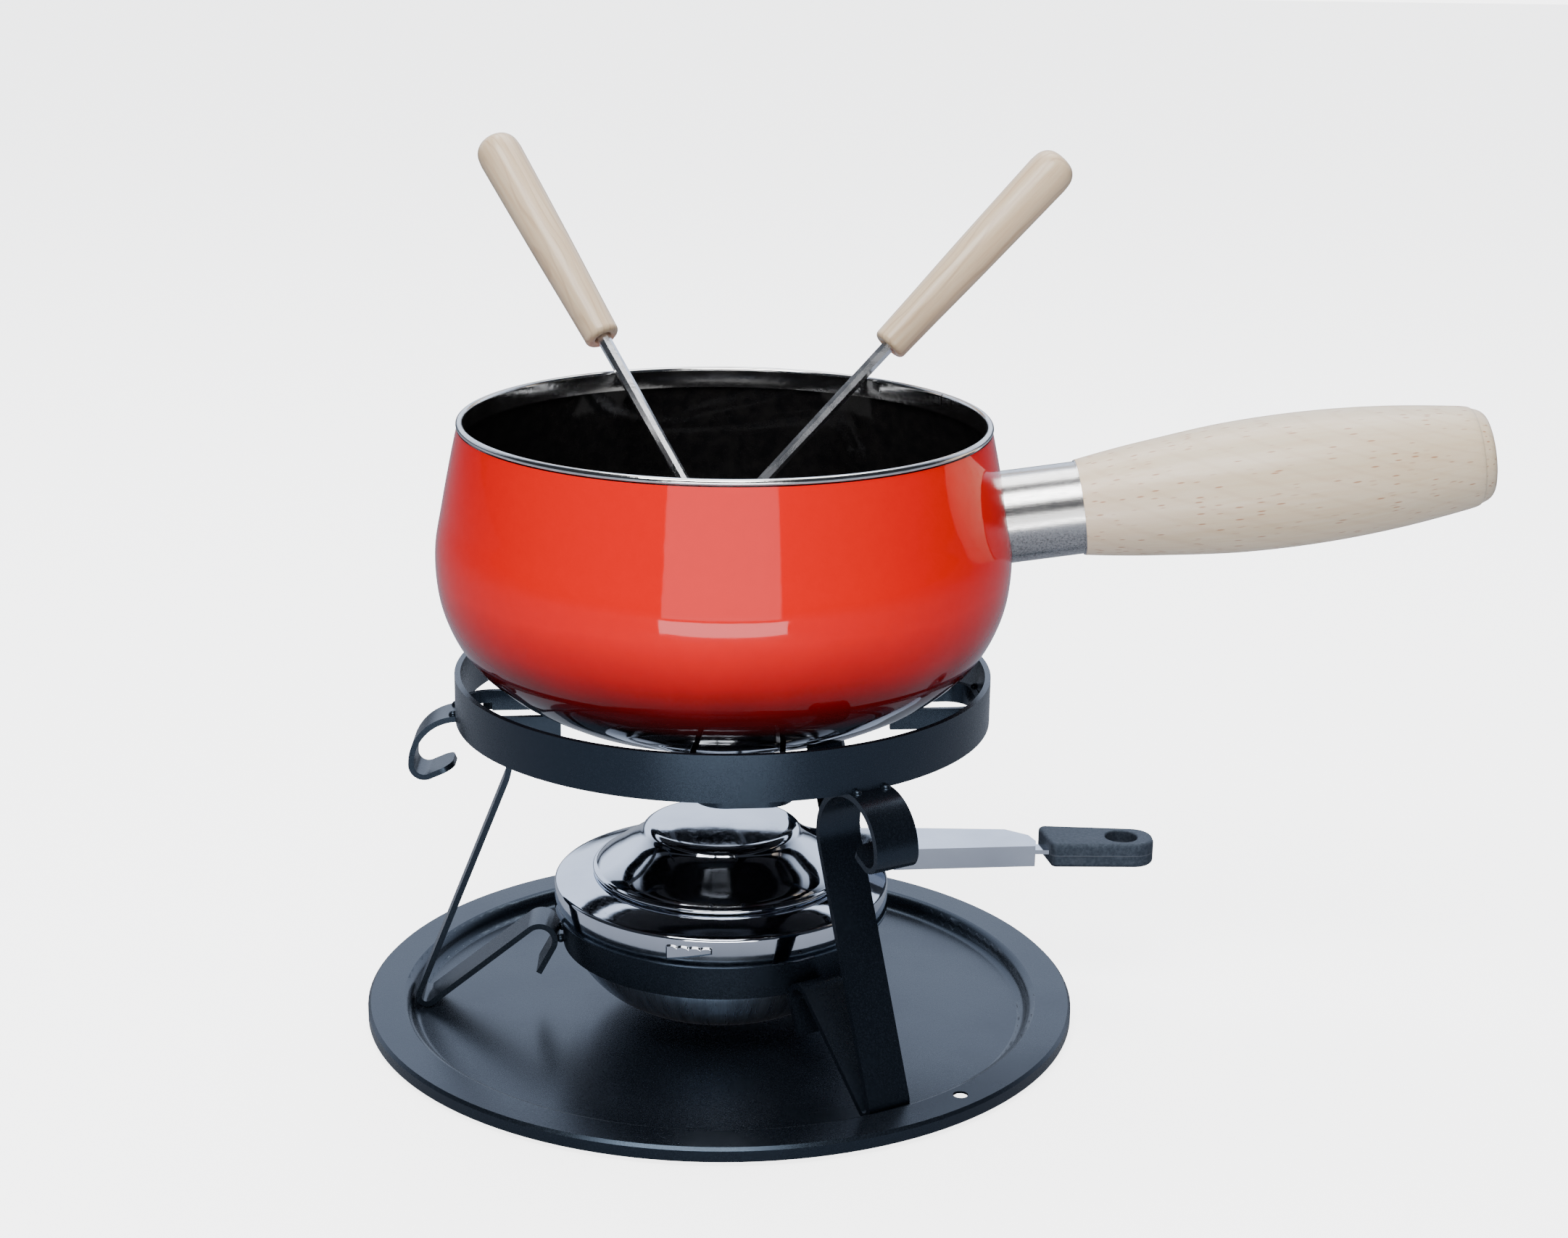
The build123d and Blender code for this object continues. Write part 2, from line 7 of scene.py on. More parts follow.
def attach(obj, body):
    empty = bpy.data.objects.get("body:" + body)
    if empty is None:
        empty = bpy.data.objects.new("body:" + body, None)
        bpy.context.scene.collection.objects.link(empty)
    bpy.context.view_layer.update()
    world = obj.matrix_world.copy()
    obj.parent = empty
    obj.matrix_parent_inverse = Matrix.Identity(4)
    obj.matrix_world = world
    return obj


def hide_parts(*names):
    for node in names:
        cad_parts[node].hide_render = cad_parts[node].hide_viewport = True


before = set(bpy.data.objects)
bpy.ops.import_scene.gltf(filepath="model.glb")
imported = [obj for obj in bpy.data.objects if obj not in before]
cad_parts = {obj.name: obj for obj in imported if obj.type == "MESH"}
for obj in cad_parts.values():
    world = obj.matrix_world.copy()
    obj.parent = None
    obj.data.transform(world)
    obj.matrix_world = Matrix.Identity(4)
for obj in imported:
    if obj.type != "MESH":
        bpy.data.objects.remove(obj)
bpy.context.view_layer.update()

# ---------------------------------------------------------------- tray
# A shallow dish pressed from 0.8 mm steel sheet, rim rolled under, one hanging hole.
# Satin blue-black powder coat with a fine speckle; it only lies under the stand.


def node(tree, kind, **values):
    """Adds a shader or geometry node; values that aren't properties are put on its inputs."""
    made = tree.nodes.new(kind)
    for key, value in values.items():
        if hasattr(made, key):
            setattr(made, key, value)
        else:
            made.inputs[key.replace("_", " ")].default_value = value
    return made


def link(tree, source, target):
    tree.links.new(source, target)


def start_material(name, **values):
    """A new material with a Principled BSDF; returns material, tree, shader and object coordinates."""
    made = bpy.data.materials.new(name)
    made.use_nodes = True
    tree = made.node_tree
    tree.nodes.clear()
    shader = node(tree, "ShaderNodeBsdfPrincipled")
    for key, value in values.items():
        shader.inputs[key.replace("_", " ")].default_value = value
    out = node(tree, "ShaderNodeOutputMaterial")
    link(tree, shader.outputs[0], out.inputs["Surface"])
    coords = node(tree, "ShaderNodeTexCoord")
    return made, tree, shader, coords.outputs["Object"]


def noise(tree, vector, scale, detail=2.0, rough=0.5):
    made = node(tree, "ShaderNodeTexNoise")
    made.inputs["Scale"].default_value = scale
    made.inputs["Detail"].default_value = detail
    made.inputs["Roughness"].default_value = rough
    link(tree, vector, made.inputs["Vector"])
    return made.outputs["Fac"]


def remap(tree, value, low, high, to_low, to_high):
    made = node(tree, "ShaderNodeMapRange")
    made.inputs["From Min"].default_value = low
    made.inputs["From Max"].default_value = high
    made.inputs["To Min"].default_value = to_low
    made.inputs["To Max"].default_value = to_high
    link(tree, value, made.inputs["Value"])
    return made.outputs[0]


def mix_color(tree, factor, first, second):
    """Mixes two colours or colour sockets; factor is a socket."""
    made = node(tree, "ShaderNodeMix", data_type="RGBA")
    link(tree, factor, made.inputs["Factor"])
    for given, slot in ((first, made.inputs[6]), (second, made.inputs[7])):
        if isinstance(given, tuple):
            slot.default_value = given + (1.0,)
        else:
            link(tree, given, slot)
    return made.outputs[2]


def math_node(tree, operation, first, second=None, third=None):
    made = node(tree, "ShaderNodeMath", operation=operation)
    for index, given in enumerate((first, second, third)):
        if given is None:
            continue
        if isinstance(given, (int, float)):
            made.inputs[index].default_value = given
        else:
            link(tree, given, made.inputs[index])
    return made.outputs[0]


def bump(tree, shader, height, distance, strength=1.0):
    made = node(tree, "ShaderNodeBump")
    made.inputs["Distance"].default_value = distance
    made.inputs["Strength"].default_value = strength
    link(tree, height, made.inputs["Height"])
    link(tree, made.outputs[0], shader.inputs["Normal"])


def scaled(tree, vector, x, y, z, turn_y=0.0):
    made = node(tree, "ShaderNodeMapping", vector_type="POINT")
    made.inputs["Rotation"].default_value = (0.0, turn_y, 0.0)
    made.inputs["Scale"].default_value = (x, y, z)
    link(tree, vector, made.inputs["Vector"])
    return made.outputs[0]


def split_xyz(tree, vector):
    made = node(tree, "ShaderNodeSeparateXYZ")
    link(tree, vector, made.inputs[0])
    return made.outputs


coat, tree, shader, place = start_material("powder_coat", Metallic=0.0, IOR=1.5)
speck = noise(tree, place, 1500.0, 3.0, 0.7)
cloud = noise(tree, place, 28.0, 3.0)
tone = mix_color(tree, remap(tree, speck, 0.50, 0.66, 0.0, 1.0), (0.0032, 0.0043, 0.0066), (0.0058, 0.0078, 0.0118))
link(tree, tone, shader.inputs["Base Color"])
rough = math_node(tree, "ADD", remap(tree, cloud, 0.3, 0.7, 0.23, 0.29), remap(tree, speck, 0.4, 0.7, 0.0, 0.08))
link(tree, rough, shader.inputs["Roughness"])
shader.inputs["Specular IOR Level"].default_value = 0.6
shader.inputs["Specular Tint"].default_value = (0.55, 0.74, 1.0, 1.0)
bump(tree, shader, noise(tree, place, 700.0, 2.0), 0.00006, 0.15)


def paint(material, *names):
    """Gives CAD nodes one material."""
    for name in names:
        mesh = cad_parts[name].data
        mesh.materials.clear()
        mesh.materials.append(material)


def soften(name, width, segments=2, angle=35.0):
    """Rounds the cut edges of a CAD node a little, as coated sheet has."""
    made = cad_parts[name].modifiers.new("edge", "BEVEL")
    made.width = width
    made.segments = segments
    made.limit_method = "ANGLE"
    made.angle_limit = math.radians(angle)
    made.use_clamp_overlap = True
    made.harden_normals = False


def finish_mesh(name, mesh, material, body, angle=32.0):
    """Makes an object of a mesh: smooth, with edges sharper than angle kept, riding on a body."""
    work = bmesh.new()
    work.from_mesh(mesh)
    bmesh.ops.remove_doubles(work, verts=work.verts, dist=1e-7)
    bmesh.ops.recalc_face_normals(work, faces=work.faces)
    for edge in work.edges:
        if len(edge.link_faces) == 2:
            edge.smooth = edge.calc_face_angle(0.0) < math.radians(angle)
    for face in work.faces:
        face.smooth = True
    work.to_mesh(mesh)
    work.free()
    mesh.materials.append(material)
    made = bpy.data.objects.new(name, mesh)
    bpy.context.scene.collection.objects.link(made)
    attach(made, body)
    return made


def lathe(name, outline, material, body, turns=256, base=None, angle=32.0):
    """Turns a closed outline of (radius, height) in mm about an axis; base is a 4x4 matrix."""
    base = base or Matrix.Identity(4)
    points = []
    for point in outline:
        if not points or math.dist(point, points[-1]) > 1e-6:
            points.append(point)
    if math.dist(points[0], points[-1]) < 1e-6:
        points.pop()
    verts = []
    rings = []
    for radius, height in points:
        ring = []
        if radius < 1e-6:
            verts.append(base @ Vector((0, 0, height / 1000)))
            ring = [len(verts) - 1] * turns
        else:
            for step in range(turns):
                turn = 2 * math.pi * step / turns
                spot = Vector((radius * math.cos(turn), radius * math.sin(turn), height)) / 1000
                verts.append(base @ spot)
                ring.append(len(verts) - 1)
        rings.append(ring)
    faces = []
    for index in range(len(rings)):
        first = rings[index]
        second = rings[(index + 1) % len(rings)]
        if first[0] == first[1] and second[0] == second[1]:
            continue
        for step in range(turns):
            after = (step + 1) % turns
            corners = []
            for corner in (first[step], first[after], second[after], second[step]):
                if corner not in corners:
                    corners.append(corner)
            faces.append(corners)
    mesh = bpy.data.meshes.new(name)
    mesh.from_pydata(verts, [], faces)
    return finish_mesh(name, mesh, material, body, angle)


def smooth_line(points, steps=8):
    """A Catmull-Rom curve through the points."""
    line = []
    for index in range(len(points) - 1):
        p0 = points[max(index - 1, 0)]
        p1 = points[index]
        p2 = points[index + 1]
        p3 = points[min(index + 2, len(points) - 1)]
        for step in range(steps):
            t = step / steps
            spot = []
            for axis in (0, 1):
                a = 2 * p1[axis]
                b = (p2[axis] - p0[axis]) * t
                c = (2 * p0[axis] - 5 * p1[axis] + 4 * p2[axis] - p3[axis]) * t * t
                d = (3 * p1[axis] - p0[axis] - 3 * p2[axis] + p3[axis]) * t**3
                spot.append((a + b + c + d) / 2)
            line.append(tuple(spot))
    line.append(points[-1])
    return line


def arc(centre_r, centre_z, radius, start, end, steps=6):
    """Points of a circular arc, angles in degrees."""
    line = []
    for step in range(steps + 1):
        turn = math.radians(start + (end - start) * step / steps)
        line.append((centre_r + radius * math.cos(turn), centre_z + radius * math.sin(turn)))
    return line


paint(coat, "tray")

# ---------------------------------------------------------------- stand
# 16 x 2 mm mild steel strip bent cold, three legs, two rings and four pot rests, welded.
# Same powder coat as the tray; cut edges slightly rounded so that they catch the light.
strips = ["stand_ring", "burner_ring", "leg_left", "leg_front", "leg_back"]
strips += ["pot_rest_1", "pot_rest_2", "pot_rest_3", "pot_rest_4"]
paint(coat, *strips)
paint(coat, "stand_welds", "rest_welds")
for name in strips:
    soften(name, 0.00035)

# ---------------------------------------------------------------- burner bowl and top
# Spun stainless bowl with a rolled flange that hangs on the burner ring; brushed upright.
# The inner top plate carries the neck of the flame opening and never shows much.
brushed, tree, shader, place = start_material("brushed_steel", Metallic=1.0)
parts = split_xyz(tree, place)
turn = math_node(tree, "ARCTAN2", parts[1], parts[0])
streak = node(tree, "ShaderNodeCombineXYZ")
link(tree, math_node(tree, "MULTIPLY", turn, 55.0), streak.inputs[0])
link(tree, math_node(tree, "MULTIPLY", parts[2], 45.0), streak.inputs[1])
fibre = noise(tree, streak.outputs[0], 1.6, 5.0, 0.65)
broad = noise(tree, streak.outputs[0], 0.22, 2.0)
tone = mix_color(tree, remap(tree, fibre, 0.3, 0.7, 0.0, 1.0), (0.62, 0.66, 0.74), (0.86, 0.90, 0.97))
tone = mix_color(tree, remap(tree, broad, 0.42, 0.62, 0.0, 0.6), tone, (0.45, 0.48, 0.54))
link(tree, tone, shader.inputs["Base Color"])
link(tree, remap(tree, fibre, 0.3, 0.7, 0.38, 0.24), shader.inputs["Roughness"])
bump(tree, shader, fibre, 0.00005, 0.6)
paint(brushed, "burner_bowl", "burner_top")

bowl_outline = [(0.0, 4.8)]
bowl_inner = []
for step in range(25):
    turn_here = math.radians(90 * step / 24)
    height = 47.0 - 42.2 * math.cos(turn_here)
    if height > 26.6:
        break
    radius = 24.3 + (54.0 - 24.3) * math.sin(turn_here) / 0.8754
    bowl_outline.append((radius, height))
    bowl_inner.append((radius - 0.8 * math.sin(turn_here), height + 0.8 * math.cos(turn_here)))
bowl_outline += [(54.0, 26.8), (54.0, 38.7), (57.6, 38.7), (57.6, 39.4), (53.2, 39.4), (53.2, 27.2)]
bowl_outline += bowl_inner[::-1]
bowl_outline.append((0.0, 5.6))
bowl = lathe("burner_bowl_spun", bowl_outline, brushed, "burner")
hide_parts("burner_bowl")

# ---------------------------------------------------------------- wadding and gauze
# Off-white mineral wool holds the fuel; a woven wire cloth lies over it in the neck.
# Both are pushed in loose and only show with the lid off.
wool, tree, shader, place = start_material("mineral_wool", Roughness=0.95)
fluff = noise(tree, place, 260.0, 6.0, 0.7)
link(tree, mix_color(tree, fluff, (0.55, 0.52, 0.46), (0.90, 0.88, 0.83)), shader.inputs["Base Color"])
bump(tree, shader, fluff, 0.0012, 1.0)
paint(wool, "burner_wadding")

wire, tree, shader, place = start_material("gauze_wire", Metallic=1.0, Roughness=0.42)
tarnish = noise(tree, place, 120.0, 3.0)
link(tree, mix_color(tree, tarnish, (0.30, 0.25, 0.20), (0.62, 0.61, 0.60)), shader.inputs["Base Color"])
bump(tree, shader, noise(tree, place, 1800.0, 2.0), 0.00005, 0.5)
paint(wire, "burner_gauze")


def group_input(group, name, kind, value):
    made = group.interface.new_socket(name=name, in_out="INPUT", socket_type=kind)
    made.default_value = value
    return made.identifier


cloth_group = bpy.data.node_groups.new("wire_cloth", "GeometryNodeTree")
cloth_group.interface.new_socket(name="Geometry", in_out="OUTPUT", socket_type="NodeSocketGeometry")
in_count = group_input(cloth_group, "Wires", "NodeSocketInt", 29)
in_radius = group_input(cloth_group, "Disc radius", "NodeSocketFloat", 0.0362)
in_wire = group_input(cloth_group, "Wire radius", "NodeSocketFloat", 0.00022)
in_height = group_input(cloth_group, "Height", "NodeSocketFloat", 0.0508)
given = cloth_group.nodes.new("NodeGroupInput")
result = cloth_group.nodes.new("NodeGroupOutput")
line = node(cloth_group, "GeometryNodeMeshLine", mode="END_POINTS")
low = node(cloth_group, "ShaderNodeCombineXYZ")
high = node(cloth_group, "ShaderNodeCombineXYZ")
reach = math_node(cloth_group, "MULTIPLY", given.outputs["Disc radius"], 0.98)
link(cloth_group, math_node(cloth_group, "MULTIPLY", reach, -1.0), low.inputs[0])
link(cloth_group, reach, high.inputs[0])
link(cloth_group, low.outputs[0], line.inputs["Start Location"])
link(cloth_group, high.outputs[0], line.inputs["Offset"])
link(cloth_group, given.outputs["Wires"], line.inputs["Count"])
spot = node(cloth_group, "GeometryNodeInputPosition")
spot_x = split_xyz(cloth_group, spot.outputs[0])[0]
square = math_node(cloth_group, "MULTIPLY", given.outputs["Disc radius"], given.outputs["Disc radius"])
inside = math_node(cloth_group, "SUBTRACT", square, math_node(cloth_group, "MULTIPLY", spot_x, spot_x))
chord = math_node(cloth_group, "SQRT", math_node(cloth_group, "MAXIMUM", inside, 1e-8))
rod = node(cloth_group, "GeometryNodeMeshCylinder")
rod.inputs["Vertices"].default_value = 8
rod.inputs["Depth"].default_value = 2.0
link(cloth_group, given.outputs["Wire radius"], rod.inputs["Radius"])
place_rods = node(cloth_group, "GeometryNodeInstanceOnPoints")
link(cloth_group, line.outputs[0], place_rods.inputs["Points"])
link(cloth_group, rod.outputs[0], place_rods.inputs["Instance"])
place_rods.inputs["Rotation"].default_value = (math.pi / 2, 0.0, 0.0)
stretch = node(cloth_group, "ShaderNodeCombineXYZ")
stretch.inputs[0].default_value = 1.0
stretch.inputs[1].default_value = 1.0
link(cloth_group, chord, stretch.inputs[2])
link(cloth_group, stretch.outputs[0], place_rods.inputs["Scale"])
crossed = node(cloth_group, "GeometryNodeTransform")
crossed.inputs["Rotation"].default_value = (0.0, 0.0, math.pi / 2)
crossed.inputs["Translation"].default_value = (0.0, 0.0, 0.0003)
link(cloth_group, place_rods.outputs[0], crossed.inputs[0])
both = node(cloth_group, "GeometryNodeJoinGeometry")
link(cloth_group, place_rods.outputs[0], both.inputs[0])
link(cloth_group, crossed.outputs[0], both.inputs[0])
lifted = node(cloth_group, "GeometryNodeTransform")
rise = node(cloth_group, "ShaderNodeCombineXYZ")
link(cloth_group, given.outputs["Height"], rise.inputs[2])
link(cloth_group, rise.outputs[0], lifted.inputs["Translation"])
link(cloth_group, both.outputs[0], lifted.inputs[0])
real = node(cloth_group, "GeometryNodeRealizeInstances")
link(cloth_group, lifted.outputs[0], real.inputs[0])
tint = node(cloth_group, "GeometryNodeSetMaterial")
tint.inputs["Material"].default_value = wire
link(cloth_group, real.outputs[0], tint.inputs[0])
link(cloth_group, tint.outputs[0], result.inputs[0])


def grow(name, group, settings, body):
    """Runs a geometry group on an empty mesh and keeps the result as a plain mesh."""
    seed_mesh = bpy.data.meshes.new(name + "_seed")
    holder = bpy.data.objects.new(name, seed_mesh)
    bpy.context.scene.collection.objects.link(holder)
    made = holder.modifiers.new("grow", "NODES")
    made.node_group = group
    for key, value in settings.items():
        made[key] = value
    depth = bpy.context.evaluated_depsgraph_get()
    plain = bpy.data.meshes.new_from_object(holder.evaluated_get(depth))
    holder.modifiers.clear()
    holder.data = plain
    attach(holder, body)
    return holder


settings = {in_count: 29, in_radius: 0.0362, in_wire: 0.00022, in_height: 0.0506}
gauze = grow("gauze_cloth", cloth_group, settings, "burner")
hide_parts("burner_gauze")

# ---------------------------------------------------------------- regulator cap
# Pressed stainless cap, mirror polished, that turns on the neck; four scallops pressed
# into its side show how far it is open.
mirror, tree, shader, place = start_material("mirror_steel", Metallic=1.0)
parts = split_xyz(tree, place)
smear = noise(tree, place, 34.0, 3.0)
hair = noise(tree, scaled(tree, place, 1.0, 1.0, 9.0), 420.0, 4.0, 0.7)
tone = mix_color(tree, remap(tree, smear, 0.35, 0.7, 0.0, 1.0), (0.78, 0.82, 0.89), (0.64, 0.68, 0.75))
link(tree, tone, shader.inputs["Base Color"])
rough = math_node(tree, "ADD", remap(tree, smear, 0.3, 0.7, 0.035, 0.09), remap(tree, hair, 0.5, 0.75, 0.0, 0.07))
link(tree, rough, shader.inputs["Roughness"])
bump(tree, shader, noise(tree, place, 70.0, 2.0), 0.00012, 0.35)
paint(mirror, "regulator_cap", "snuffer_lid", "lid_arm", "rim_band")

cap_outline = [(58.5, 38.7)] + arc(58.9, 39.1, 0.4, -180, 0, 6)
cap_outline += arc(57.9, 48.3, 1.4, 0, 72, 7)
cap_outline += smooth_line([(57.0, 49.95), (52.0, 51.2), (46.0, 52.25), (38.1, 52.5)], 5)
cap_outline += [(38.1, 51.7), (46.0, 51.5), (57.0, 48.9), (58.5, 47.4)]
cap = lathe("cap_pressed", cap_outline, mirror, "regulator", 320)
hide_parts("regulator_cap")

scale_verts = []
scale_faces = []
across_count = 120
up_count = 60
for row in range(up_count + 1):
    height = 38.9 + 1.3 + 7.6 * row / up_count
    for column in range(across_count + 1):
        sideways = 16.4 * column / across_count
        lobe = sideways - 0.2 - 2.0 - 4.0 * min(3, max(0, int((sideways - 0.2) / 4.0)))
        top_edge = 46.0 + 0.8 * math.sqrt(max(0.0, 1 - (lobe / 2.0) ** 2))
        bottom_edge = 40.9 + 0.19 * sideways
        inside = min(top_edge - height, height - bottom_edge, sideways - 0.1, 16.3 - sideways)
        part = max(0.0, min(1.0, inside / 0.75))
        proud = 0.55 * part * part * (3 - 2 * part) - 0.02
        azimuth = math.radians(-108.4) + sideways / 59.3
        radius = (59.3 + proud) / 1000
        scale_verts.append((radius * math.cos(azimuth), radius * math.sin(azimuth), height / 1000))
front_total = len(scale_verts)
for vert in scale_verts[:front_total]:
    shrink = 0.0591 / math.hypot(vert[0], vert[1])
    scale_verts.append((vert[0] * shrink, vert[1] * shrink, vert[2]))
wide = across_count + 1
for row in range(up_count):
    for column in range(across_count):
        first = row * wide + column
        scale_faces.append((first, first + 1, first + wide + 1, first + wide))
        back = first + front_total
        scale_faces.append((back, back + wide, back + wide + 1, back + 1))
rim_loop = [column for column in range(across_count)]
rim_loop += [row * wide + across_count for row in range(up_count)]
rim_loop += [up_count * wide + column for column in range(across_count, 0, -1)]
rim_loop += [row * wide for row in range(up_count, 0, -1)]
for index in range(len(rim_loop)):
    first = rim_loop[index]
    after = rim_loop[(index + 1) % len(rim_loop)]
    scale_faces.append((after, first, first + front_total, after + front_total))
scale_mesh = bpy.data.meshes.new("cap_scale")
scale_mesh.from_pydata(scale_verts, [], scale_faces)
finish_mesh("cap_scale", scale_mesh, mirror, "regulator", 60)

# ---------------------------------------------------------------- snuffer lid and arm
# Spun stainless lid with a rolled brim and flat crown; a folded channel is brazed to its
# side as the arm. Same mirror polish, a little duller where it has been handled.
lid_outline = arc(45.0, 53.6, 0.8, -150, 100, 10)
lid_side = [
    (44.3, 54.75), (42.9, 56.1), (40.0, 58.2), (35.4, 61.2), (31.2, 64.2), (28.9, 66.3),
    (27.5, 68.1), (25.8, 69.1), (23.6, 69.4),
]
lid_outline += smooth_line(lid_side, 6) + [(0.0, 69.4), (0.0, 68.6), (23.4, 68.6), (25.8, 68.0)]
lid_outline += [(27.6, 66.4), (30.6, 63.5), (35.0, 60.4), (40.0, 57.3), (42.6, 55.2)]
lid = lathe("lid_spun", lid_outline, mirror, "snuffer", 320)
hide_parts("snuffer_lid")
soften("lid_arm", 0.0003)

# ---------------------------------------------------------------- arm's grip
# Moulded dark blue-grey rubber pushed over the arm's tongue, with a hanging eye and a
# parting line round its middle. Matt, with dust caught in the grain.
rubber, tree, shader, place = start_material("grip_rubber", Roughness=0.62)
shader.inputs["Specular Tint"].default_value = (0.6, 0.78, 1.0, 1.0)
grain = noise(tree, place, 900.0, 4.0, 0.7)
dust = noise(tree, place, 60.0, 4.0)
tone = mix_color(tree, remap(tree, grain, 0.4, 0.7, 0.0, 1.0), (0.020, 0.026, 0.036), (0.050, 0.060, 0.078))
tone = mix_color(tree, remap(tree, dust, 0.55, 0.75, 0.0, 0.35), tone, (0.10, 0.11, 0.13))
height = split_xyz(tree, place)[2]
seam = math_node(tree, "ABSOLUTE", math_node(tree, "SUBTRACT", height, 0.0554))
seam = remap(tree, seam, 0.00012, 0.0003, 1.0, 0.0)
tone = mix_color(tree, math_node(tree, "MULTIPLY", seam, 0.6), tone, (0.09, 0.10, 0.12))
link(tree, tone, shader.inputs["Base Color"])
bump(tree, shader, math_node(tree, "ADD", grain, seam), 0.00012, 0.6)
paint(rubber, "lid_grip")

# ---------------------------------------------------------------- pot
# Drawn steel pan, glossy red enamel outside, darkening to maroon low on the belly as painted shade and then running
# into black below; black enamel inside.
# The handle is fixed by a stud welded to the wall.
enamel, tree, shader, place = start_material("red_enamel", Metallic=0.0, IOR=1.52)
coords = node(tree, "ShaderNodeTexCoord")
parts = split_xyz(tree, place)
normal = coords.outputs["Normal"]
flat_place = node(tree, "ShaderNodeCombineXYZ")
link(tree, parts[0], flat_place.inputs[0])
link(tree, parts[1], flat_place.inputs[1])
outward = node(tree, "ShaderNodeVectorMath", operation="NORMALIZE")
link(tree, flat_place.outputs[0], outward.inputs[0])
facing = node(tree, "ShaderNodeVectorMath", operation="DOT_PRODUCT")
link(tree, outward.outputs[0], facing.inputs[0])
link(tree, normal, facing.inputs[1])
up_part = split_xyz(tree, normal)[2]
outside = math_node(tree, "SUBTRACT", facing.outputs["Value"], math_node(tree, "MULTIPLY", up_part, 0.7))
outside = math_node(tree, "GREATER_THAN", outside, 0.0)
wander = noise(tree, place, 30.0, 3.0)
level = math_node(tree, "ADD", parts[2], remap(tree, wander, 0.3, 0.7, -0.0012, 0.0012))
red_part = remap(tree, level, 0.1290, 0.1500, 0.0, 1.0)
peel = noise(tree, place, 240.0, 3.0)
red = mix_color(tree, remap(tree, peel, 0.3, 0.7, 0.0, 1.0), (0.86, 0.0002, 0.0002), (0.88, 0.0003, 0.0003))
# Painted shade: the red deepens to dark maroon towards the bottom of the belly, where the wall turns under.
red_with_painted_shade = mix_color(tree, remap(tree, level, 0.1380, 0.1650, 0.0, 1.0), (0.20, 0.0005, 0.001), red)
tone = mix_color(tree, red_part, (0.006, 0.005, 0.006), red_with_painted_shade)
black = mix_color(tree, remap(tree, peel, 0.3, 0.7, 0.0, 1.0), (0.006, 0.006, 0.007), (0.014, 0.013, 0.013))
tone = mix_color(tree, outside, black, tone)
link(tree, tone, shader.inputs["Base Color"])
link(tree, remap(tree, peel, 0.3, 0.7, 0.035, 0.07), shader.inputs["Roughness"])
shader.inputs["Specular IOR Level"].default_value = 0.32
bump(tree, shader, noise(tree, place, 120.0, 2.0), 0.00006, 0.4)
paint(enamel, "pot_shell")

pot_line = [
    (62.4, 116.6), (71.8, 121.6), (79.4, 126.8), (88.0, 134.8), (94.0, 144.4),
    (97.9, 156.4), (98.85, 171.4), (96.4, 186.4), (93.5, 201.4), (90.9, 213.4),
]
pot_side = smooth_line(pot_line, 8)
pot_inside = []
for index in range(len(pot_side)):
    before = pot_side[max(index - 1, 0)]
    after = pot_side[min(index + 1, len(pot_side) - 1)]
    run = after[0] - before[0]
    rise_here = after[1] - before[1]
    span = math.hypot(run, rise_here)
    here = pot_side[index]
    pot_inside.append((here[0] - 1.5 * rise_here / span, here[1] + 1.5 * run / span))
pot_outline = [(0.0, 115.8), (60.0, 115.8), (61.0, 116.0)] + pot_side + pot_inside[::-1]
pot_outline += [(59.0, 117.3), (0.0, 117.3)]
pot = lathe("pot_drawn", pot_outline, enamel, "pot", 384)
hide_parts("pot_shell")

# ---------------------------------------------------------------- rim band
# Polished stainless strip rolled over the pot's mouth, its two ends butted at the back
# right. Bright bead outside, a narrow skirt inside.
band, tree, shader, place = start_material("rim_steel", Metallic=1.0)
parts = split_xyz(tree, place)
turn = math_node(tree, "ARCTAN2", parts[1], parts[0])
gap = math_node(tree, "ABSOLUTE", math_node(tree, "SUBTRACT", turn, 0.5236))
gap = remap(tree, gap, 0.0018, 0.0032, 1.0, 0.0)
wear = noise(tree, place, 90.0, 3.0)
tone = mix_color(tree, remap(tree, wear, 0.35, 0.7, 0.0, 1.0), (0.82, 0.82, 0.81), (0.64, 0.63, 0.62))
tone = mix_color(tree, gap, tone, (0.04, 0.04, 0.04))
link(tree, tone, shader.inputs["Base Color"])
link(tree, remap(tree, wear, 0.3, 0.7, 0.10, 0.19), shader.inputs["Roughness"])
bump(tree, shader, math_node(tree, "SUBTRACT", noise(tree, place, 400.0, 2.0), gap), 0.00012, 0.4)
rim_outline = arc(90.0, 214.6, 1.2, -45, 195, 12) + [(88.75, 213.0), (89.65, 208.2), (90.25, 208.2), (89.5, 213.0), (89.6, 213.5)]
rim = lathe("rim_rolled", rim_outline, band, "pot", 384, None, 50)
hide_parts("rim_band")

# ---------------------------------------------------------------- ferrule
# Satin stainless tube that meets the pot's wall; the upper half bright, finer scratches,
# and the lower half darkened as painted shade broken into a dull speckle. Holds the wooden handle on the stud.
satin, tree, shader, place = start_material("ferrule_steel", Metallic=1.0)
scratch = noise(tree, scaled(tree, place, 1.0, 6.0, 6.0), 300.0, 4.0, 0.7)
spots = noise(tree, place, 1400.0, 3.0, 0.7)
tone = mix_color(tree, remap(tree, scratch, 0.35, 0.7, 0.0, 1.0), (0.74, 0.73, 0.72), (0.56, 0.55, 0.54))
